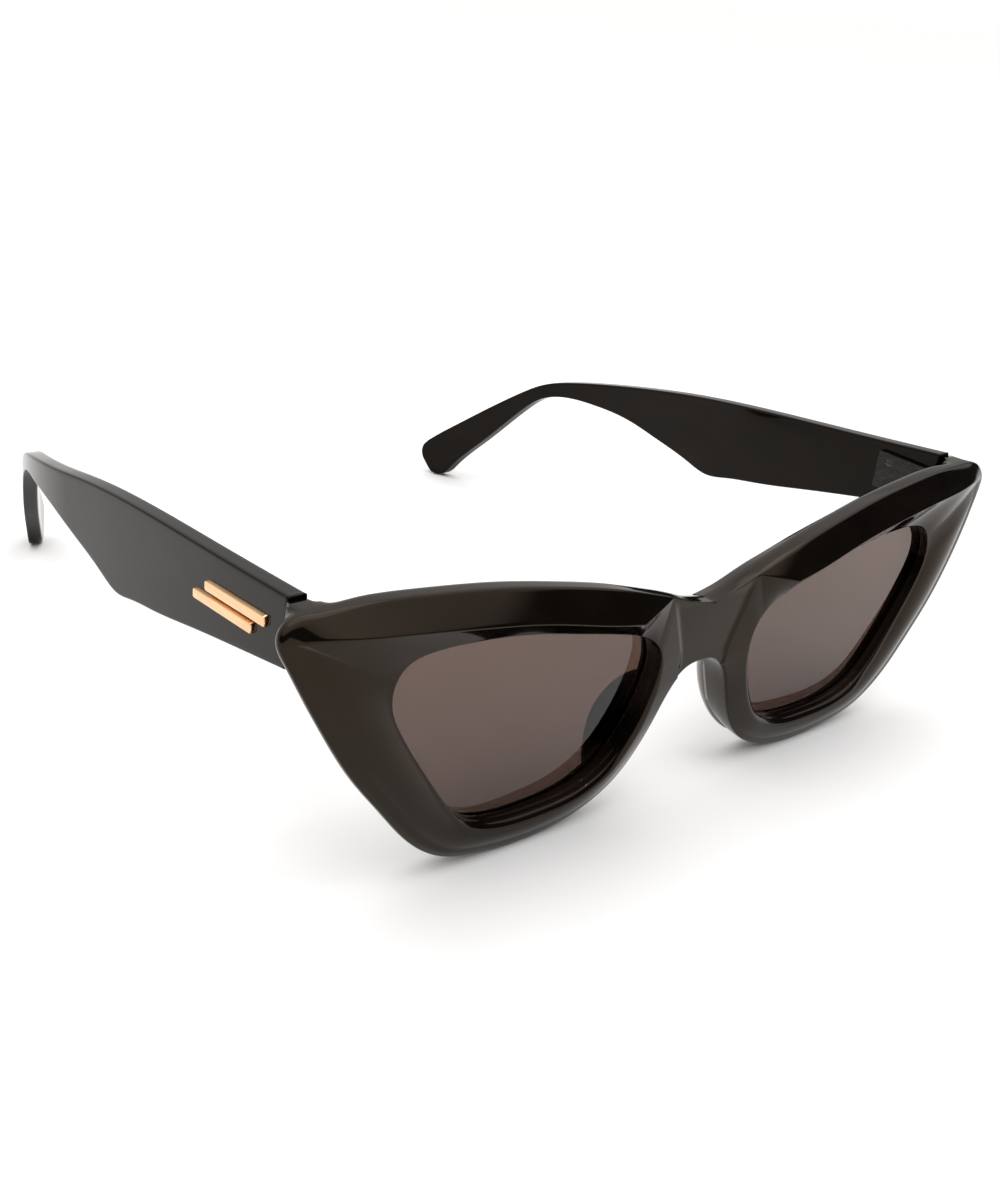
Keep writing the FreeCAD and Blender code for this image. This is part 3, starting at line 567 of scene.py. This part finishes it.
def build_front():
    """Both halves of the front: a section per column, from the groove round the face to the back."""
    opening, edge, outline, numbers, bridge, inwards = front_columns()
    chamfer_width, chamfer_depth, lip_round, dome, face_round = numbers.T[:5]
    corner_depth, corner_round, step, wall_depth, wall_inset = numbers.T[5:]
    reach = np.linalg.norm(edge[:, :2] - opening, axis=1)
    towards = (edge[:, :2] - opening) / reach[:, None]

    def spot(xz, depth):
        return np.column_stack([xz, np.broadcast_to(depth, len(xz))])

    out = np.linalg.norm(outline - edge[:, :2], axis=1)
    step_share = np.clip(STEP_WIDTH / np.maximum(out, 0.1), 0.0, 0.5)
    floor_edge = edge[:, :2] + (outline - edge[:, :2]) * step_share[:, None]
    flat_depth = edge[:, 2] + (corner_depth - edge[:, 2]) * step_share + step * STEP_SHARE
    wide = opening + towards * BACK_RIM
    deep = opening + towards * GROOVE_REACH
    meets = smoothstep(60.5, 63.5, outline[:, 0]) * (1.0 - smoothstep(67.0, 68.5, outline[:, 0]))
    meets = meets * smoothstep(15.0, 17.0, outline[:, 1])
    wall_inset = wall_inset + meets * (0.15 - wall_inset)
    rear = outline + inwards * wall_inset[:, None]
    groove_front = lens_depth(opening[:, 0]) - GROOVE_ROOM
    groove_back = lens_depth(opening[:, 0]) + LENS_THICKNESS + GROOVE_ROOM
    corners = np.stack([
        spot(opening, groove_front),
        spot(opening, LIP_BEHIND),
        spot(opening + towards * LIP_DEPTH, LIP_INSIDE),
        spot(opening + towards * LIP_DEPTH, 0.0),
        spot(opening + towards * np.maximum(chamfer_width, LIP_WIDTH)[:, None], chamfer_depth),
        edge,
        spot(floor_edge, flat_depth),
        spot(outline, corner_depth),
        spot(outline, wall_depth),
        spot(rear, back_surface(*rear.T) - reference(*rear.T)),
        spot(wide, back_surface(*wide.T) - reference(*wide.T)),
        spot(wide, groove_back),
        spot(deep, groove_back),
        spot(deep, groove_front),
    ], axis=1)
    zero = np.zeros(len(opening))
    tight = np.full(len(opening), 0.08)
    wall = np.where(bridge, 0.0, 1.0)
    soft = smoothstep(0.15, 0.6, wall_inset)
    smooth_floor = np.where(step > 0.05, 0.35, 0.05)
    radii = np.stack([
        tight, tight, tight, lip_round * 0.6, lip_round, face_round, smooth_floor,
        corner_round * wall, 0.7 * wall, 0.6 * wall * soft, tight * 2, tight, zero, zero,
    ], axis=1)
    corner_steps = [2, 2, 2, 4, 5, 5, 4, 6, 5, 5, 4, 2, 1, 1]
    edge_steps = [2, 0, 2, 1, 16, 1, 10, 2, 2, 14, 1, 1, 1, 1]
    points, on_edge, share = rounded(corners, radii, corner_steps, edge_steps)
    hump = np.where(on_edge == 4, 4.0 * share * (1.0 - share), 0.0)
    points[:, :, 2] += dome[:, None] * hump[None, :]
    ease = np.where(on_edge == 6, share * (1.0 - share), 0.0)
    points[:, :, 2] += (bridge * (corner_depth - flat_depth))[:, None] * ease[None, :]
    x, z, depth = points[:, :, 0], points[:, :, 1], points[:, :, 2]
    y = np.where(on_edge == 9, back_surface(x, z), reference(x, z) + depth)
    half = np.stack([x, y, z], axis=2)
    columns = half.shape[1]
    first_wall = sum(corner_steps[:8]) + sum(edge_steps[:7]) - 1
    last_wall = first_wall + edge_steps[7] + corner_steps[8] + edge_steps[8] + 1
    skip = np.zeros((len(half), columns), bool)
    skip[:, first_wall:last_wall] = bridge[:, None]
    faces = grid_faces(len(half), columns, wrap_rows=True, skip=skip)
    count = len(half) * columns
    both = np.concatenate([half.reshape(-1, 3), mirrored(half.reshape(-1, 3))])
    faces += [tuple(i + count for i in reversed(face)) for face in faces]
    return mesh_object("front_frame_body", place(both), faces)


# ------------------------------------------------------------------ lenses


LENS_COLUMNS, LENS_RINGS = 260, 25
LENS_REACH = 1.15
LENS_BEVEL = 0.15
LENS_FLAT = 0.995


def lens_surface(x, z):
    return reference(x, z) + lens_depth(x)


def build_lens(side, name):
    """Domed lens with its edge in the groove: rings out from the centre, round the rim and back."""
    rim = OPENING.at(np.linspace(0.0, OPENING.length, LENS_COLUMNS, endpoint=False))
    middle = rim.mean(axis=0)
    out = rim - middle
    out = out * (1.0 + LENS_REACH / np.linalg.norm(out, axis=1))[:, None]
    rings = [(share * LENS_FLAT, 0.0) for share in np.linspace(0.0, 1.0, LENS_RINGS + 1)[1:]]
    rings.append((1.0, LENS_BEVEL))
    lens = []
    for is_back, profile in ((False, rings), (True, rings[::-1])):
        for share, bevel in profile:
            x, z = (middle + out * share).T
            y = lens_surface(x, z) + (LENS_THICKNESS - bevel if is_back else bevel)
            lens.append(np.column_stack([x, y, z]))
    lens = np.stack(lens)
    rows, columns = lens.shape[:2]
    centre = float(lens_surface(*middle))
    tips = [(middle[0], y, middle[1]) for y in (centre, centre + LENS_THICKNESS)]
    faces = grid_faces(rows, columns)
    front_tip = rows * columns
    last = (rows - 1) * columns
    for j in range(columns):
        following = (j + 1) % columns
        faces.append((front_tip, j, following))
        faces.append((front_tip + 1, last + following, last + j))
    points = np.concatenate([lens.reshape(-1, 3), np.array(tips)])
    if side < 0:
        points = mirrored(points)
    return mesh_object(name, place(points), faces)


# ------------------------------------------------------------------ nose pads


PAD_STATIONS, PAD_AROUND = 44, 40
PAD_REACH, PAD_THICKNESS, PAD_SPLAY = 5.0, 3.2, 0.62
PAD_ROOT, PAD_TIP_REACH, PAD_TIP_HALF = 1.6, 0.4, 0.35


def build_pad(side, name):
    """Pad moulded on the nose side of the rim: carries the wall on backwards and splays outwards."""
    first, last = OUTLINE.near((15.0, -18.6)), OUTLINE.near((5.3, -2.6))
    angles = np.linspace(0.0, 2 * math.pi, PAD_AROUND, endpoint=False)
    cos, sin = np.cos(angles), np.sin(angles)
    sections = []
    for share in np.linspace(0.0, 1.0, PAD_STATIONS):
        length = first + (last - first) * share
        x, z = OUTLINE.at(length)
        inwards = inward_normal(OUTLINE, np.array([length]))[0]
        full = math.sin(math.pi * share**0.85) ** 0.55 if 0.0 < share < 1.0 else 0.0
        reach = PAD_TIP_REACH + PAD_REACH * full * (0.45 + 0.55 * share)
        half = PAD_TIP_HALF + (PAD_THICKNESS / 2 - PAD_TIP_HALF) * full
        start = float(back_surface(x, z)) - PAD_ROOT
        along = 0.5 * (1.0 + np.sign(sin) * np.abs(sin) ** 0.7) * (reach + PAD_ROOT)
        across = half + 0.06 - half * np.sign(cos) * np.abs(cos) ** 0.7
        across = across + PAD_SPLAY * np.maximum(along - 1.2, 0.0) ** 2 / (reach + PAD_ROOT)
        section = np.array([x, z]) + across[:, None] * inwards
        sections.append(np.column_stack([section[:, 0], start + along, section[:, 1]]))
    points = np.stack(sections)
    if side < 0:
        points = mirrored(points)
    return loft(name, place(points))


# ------------------------------------------------------------------ temples
TEMPLE_UPPER = Curve([
    (0, 20.9), (19, 18.6), (38, 16.4), (59, 13.4), (78.6, 9.4), (92, 6.3), (100, 3.6), (105, 0.5),
    (112, -4.7), (121.5, -12.4), (126.6, -16.9), (128.2, -19.2), (128.0, -21.4), (126.9, -23.3),
])
TEMPLE_UNDER = Curve([
    (0, 10.9), (13, 7.8), (26, 4.6), (38, 1.6), (46, -0.2), (51.6, -1.35), (57, -0.4), (67, 1.4),
    (77, 2.8), (86, 2.95), (94.6, 2.2), (100, 0.2), (104.6, -3.7), (113.8, -14.0), (121.2, -22.7),
    (123.4, -25.0), (125.3, -25.1), (126.9, -23.3),
])
# Places of the upper and the under edge that face each other.
TEMPLE_PAIRS = [
    ((0, 20.9), (0, 10.9)), ((47, 15.2), (48, -0.7)), ((57, 13.7), (56, -0.7)), ((86, 7.8), (84, 3.0)),
    ((100, 3.6), (96, 1.8)), ((106, -0.2), (101.5, -0.8)), ((121.5, -12.4), (115.5, -16.0)),
    ((126.9, -23.3), (126.9, -23.3)),
]
INNER_FACE = 1.55
TEMPLE_THICKNESS = 2.8
TEMPLE_STEP = 0.6
HOOK_START, HOOK_RUN, HOOK_INWARD = 70.0, 55.0, 13.0
TIP_ROUND, TIP_LEAST, TEMPLE_EDGE_ROUND = 2.2, 0.25, 0.42


def inward(y):
    """How far the hook has curved towards the head at a distance along the temple."""
    return HOOK_INWARD * (np.maximum(np.asarray(y, float) - HOOK_START, 0.0) / HOOK_RUN) ** 2


def from_hinge(points):
    """Temple millimetres, measured from the left fold axis, to the drawing's own."""
    points = np.asarray(points, float)
    cos, sin = math.cos(TEMPLE_YAW), math.sin(TEMPLE_YAW)
    x = points[..., 0] * cos - points[..., 1] * sin + HINGE[0]
    y = points[..., 0] * sin + points[..., 1] * cos + HINGE[1]
    return np.stack([x, y, points[..., 2]], axis=-1)


def temple_stations():
    """Facing points of the upper and the under edge, from the hinge to the tip."""
    upper, under = [], []
    for here, there in zip(TEMPLE_PAIRS[:-1], TEMPLE_PAIRS[1:]):
        length = np.linalg.norm(np.subtract(here[0], there[0]))
        last = there is TEMPLE_PAIRS[-1]
        shares = np.linspace(0.0, 1.0, int(length / TEMPLE_STEP) + 2)[: None if last else -1]
        for curve, side, out in ((TEMPLE_UPPER, 0, upper), (TEMPLE_UNDER, 1, under)):
            a, b = curve.near(here[side]), curve.near(there[side])
            out.append(curve.at(a + (b - a) * shares))
    return np.concatenate(upper), np.concatenate(under)


def build_temple(side, name):
    """Temple plate and ear hook as one flat bar with rounded edges that curves inwards."""
    upper, under = temple_stations()
    remaining = np.linalg.norm(upper - upper[-1], axis=1)
    fullness = np.sqrt(1.0 - (1.0 - np.clip(remaining / TIP_ROUND, 0.0, 1.0)) ** 2)
    fullness = np.maximum(fullness, TIP_LEAST)
    middle = INNER_FACE + TEMPLE_THICKNESS / 2
    corners = []
    for face, chain in ((1, upper), (1, under), (-1, under), (-1, upper)):
        x = middle + face * fullness * TEMPLE_THICKNESS / 2
        corners.append(np.column_stack([x, chain]))
    corners = np.stack(corners, axis=1)
    radii = np.full(corners.shape[:2], TEMPLE_EDGE_ROUND)
    points, _, _ = rounded(corners, radii, [5, 5, 5, 5], [16, 3, 16, 3])
    points[..., 0] -= inward(points[..., 1])
    front = points[:1].copy()
    centre = front.mean(axis=1, keepdims=True)
    front = centre + (front - centre) * np.array([0.86, 1.0, 0.97])
    points[0, :, 1] += 0.18
    points = np.concatenate([front, points])
    points = from_hinge(points)
    if side < 0:
        points = mirrored(points)
    return loft(name, place(points))


# ------------------------------------------------------------------ trim bars
BAR_LENGTH, BAR_WIDTH, BAR_HEIGHT = 16.3, 1.8, 0.55
BAR_SLOPE = math.radians(7.0)
BAR_BEVEL, BAR_ROUND, BAR_SUNK = 0.22, 0.07, 0.1
BARS = {"upper": (4.7, 15.5), "lower": (8.1, 12.97)}


def build_bar(side, which, name):
    """Raised gold bar: vertical hinge end, eased ear end, bevelled long edges."""
    start_y, start_z = BARS[which]
    ear_end = BAR_LENGTH - 0.3 * np.array([1.0, 0.4, 0.0])
    along = np.concatenate([[0.0, 0.12], np.linspace(0.4, BAR_LENGTH - 0.6, 24), ear_end])
    size = np.ones(len(along))
    size[0] = 0.86
    size[-3:] = (0.93, 0.78, 0.55)
    outer = INNER_FACE + TEMPLE_THICKNESS
    corners = []
    half = BAR_WIDTH / 2
    for x, across in ((-BAR_SUNK, -1), (-BAR_SUNK, 1), (BAR_HEIGHT, 1), (BAR_HEIGHT, -1)):
        bevel = BAR_BEVEL if x > 0 else 0.0
        offset = across * (half - bevel) * size
        lift = outer + np.where(x > 0, x * (0.55 + 0.45 * size), x)
        y = start_y + along * math.cos(BAR_SLOPE)
        z = start_z - along * math.sin(BAR_SLOPE) + offset
        corners.append(np.column_stack([np.broadcast_to(lift, len(along)), y, z]))
    corners = np.stack(corners, axis=1)
    radii = np.full(corners.shape[:2], BAR_ROUND)
    points, _, _ = rounded(corners, radii, [2, 3, 4, 4], [2, 2, 6, 2])
    points = from_hinge(points)
    if side < 0:
        points = mirrored(points)
    return loft(name, place(points))


# ------------------------------------------------------------------ assembly
front_piece = dress(build_front(), FRONT_ACETATE)
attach(front_piece, "front")
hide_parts("front_frame")
for side, word in ((1, "left"), (-1, "right")):
    lens = dress(build_lens(side, "lens_%s_glass" % word), LENS_TINT)
    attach(lens, "front")
    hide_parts("lens_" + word)
    pad = dress(build_pad(side, "nose_pad_%s_moulded" % word), PAD_ACETATE)
    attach(pad, "front")
    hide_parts("nose_pad_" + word)
    arm = "temple_%s_arm" % word
    temple = dress(build_temple(side, "temple_%s_plate" % word), TEMPLE_ACETATE)
    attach(temple, arm)
    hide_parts("temple_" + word)
    for which in BARS:
        bar = dress(build_bar(side, which, "%s_bar_%s" % (which, word)), GOLD)
        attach(bar, arm)
        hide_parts("%s_trim_bar_%s" % (which, word))
for node, obj in frame["nodes"].items():
    if "hinge" in node or "screws" in node:
        obj.data.materials.clear()
        obj.data.materials.append(SCREW if "screw" in node else STEEL)

# ------------------------------------------------------------------ studio
FLOOR_RADIUS, FLOOR_RINGS, FLOOR_AROUND = 9.0, 40, 96
LIGHT_TARGET = (0.0, 0.0, 0.02)
CAMERA_AT = (-144.69, -119.23, 94.37)
CAMERA_TURN = (math.radians(65.217), math.radians(-5.377), math.radians(-38.185))
CAMERA_LENS, CAMERA_SENSOR = 41.57, 36.0


def build_floor():
    """Round pale floor that the glasses rest on."""
    built = bmesh.new()
    rows = []
    for k in range(FLOOR_RINGS + 1):
        r = FLOOR_RADIUS * (k / FLOOR_RINGS) ** 2 + 0.001
        turns = [2 * math.pi * j / FLOOR_AROUND for j in range(FLOOR_AROUND)]
        rows.append([built.verts.new((r * math.cos(turn), r * math.sin(turn), 0.0)) for turn in turns])
    for inner, outer in zip(rows[:-1], rows[1:]):
        for j in range(FLOOR_AROUND):
            following = (j + 1) % FLOOR_AROUND
            built.faces.new((inner[j], outer[j], outer[following], inner[following]))
    built.faces.new(rows[0])
    mesh = bpy.data.meshes.new("floor")
    built.to_mesh(mesh)
    built.free()
    floor = bpy.data.objects.new("floor", mesh)
    bpy.context.scene.collection.objects.link(floor)
    material, tree, shader = new_material("pale_floor")
    paper = noise(tree, 30.0, 3.0)
    colour = ramp(tree, paper.outputs["Fac"], [(0.3, (0.90, 0.895, 0.885)), (0.7, (0.93, 0.925, 0.915))])
    tree.links.new(colour.outputs["Color"], shader.inputs["Base Color"])
    shader.inputs["Roughness"].default_value = 0.9
    shader.inputs["Specular IOR Level"].default_value = 0.1
    floor.data.materials.append(material)


def aim(obj, target):
    """Turn a light so that it shines at a point."""
    direction = (np.array(target) - np.array(obj.location)).tolist()
    obj.rotation_mode = "QUATERNION"
    obj.rotation_quaternion = Vector(direction).to_track_quat("-Z", "Y")


def area_light(name, location, size, power):
    data = bpy.data.lights.new(name, "AREA")
    data.shape = "RECTANGLE"
    data.size, data.size_y = size
    data.energy = power
    obj = bpy.data.objects.new(name, data)
    bpy.context.scene.collection.objects.link(obj)
    obj.location = location
    aim(obj, LIGHT_TARGET)


def build_world():
    """Pale surround for the camera, and a soft studio for everything that it lights."""
    world = bpy.data.worlds.new("studio")
    bpy.context.scene.world = world
    world.use_nodes = True
    tree = world.node_tree
    tree.nodes.clear()
    out = tree.nodes.new("ShaderNodeOutputWorld")
    seen = tree.nodes.new("ShaderNodeBackground")
    seen.inputs["Color"].default_value = (1.0, 1.0, 1.0, 1.0)
    seen.inputs["Strength"].default_value = 1.0
    lit = tree.nodes.new("ShaderNodeBackground")
    where = tree.nodes.new("ShaderNodeTexCoord")
    split = tree.nodes.new("ShaderNodeSeparateXYZ")
    tree.links.new(where.outputs["Generated"], split.inputs["Vector"])
    height = ramp(tree, split.outputs["Z"], [
        (0.0, (0.5, 0.5, 0.5)),
        (0.10, (0.05, 0.05, 0.05)),
        (0.47, (0.05, 0.05, 0.05)),
        (0.52, (0.95, 0.94, 0.96)),
        (0.80, (1.62, 1.62, 1.63)),
    ])
    behind = tree.nodes.new("ShaderNodeMapRange")
    behind.inputs["From Min"].default_value = 0.1
    behind.inputs["From Max"].default_value = 0.6
    behind.inputs["To Min"].default_value = 0.0
    behind.inputs["To Max"].default_value = 0.75
    tree.links.new(split.outputs["Y"], behind.inputs["Value"])
    back_wall = tree.nodes.new("ShaderNodeMix")
    back_wall.data_type = "RGBA"
    share, low_colour, high_colour = (back_wall.inputs[i] for i in (0, 6, 7))
    high_colour.default_value = (1.0, 0.98, 0.95, 1.0)
    tree.links.new(behind.outputs["Result"], share)
    tree.links.new(height.outputs["Color"], low_colour)
    tree.links.new(back_wall.outputs[2], lit.inputs["Color"])
    lit.inputs["Strength"].default_value = 1.0
    path = tree.nodes.new("ShaderNodeLightPath")
    mix = tree.nodes.new("ShaderNodeMixShader")
    tree.links.new(path.outputs["Is Camera Ray"], mix.inputs["Fac"])
    tree.links.new(lit.outputs["Background"], mix.inputs[1])
    tree.links.new(seen.outputs["Background"], mix.inputs[2])
    tree.links.new(mix.outputs["Shader"], out.inputs["Surface"])


def build_camera():
    """View from the wearer's right front, looking down at the glasses."""
    data = bpy.data.cameras.new("view_camera")
    data.lens = CAMERA_LENS
    data.sensor_width = CAMERA_SENSOR
    data.clip_start = 0.01
    data.clip_end = 100.0
    camera = bpy.data.objects.new("view_camera", data)
    bpy.context.scene.collection.objects.link(camera)
    camera.rotation_mode = "XYZ"
    camera.location = place(CAMERA_AT)
    camera.rotation_euler = CAMERA_TURN
    bpy.context.scene.camera = camera


build_floor()
build_world()
area_light("overhead", (0.0, 0.1, 1.3), (1.4, 1.4), 6.0)
area_light("sparkle", (-0.10, -0.42, 1.1), (0.05, 0.05), 0.35)
build_camera()
bpy.context.scene.view_settings.view_transform = "Standard"
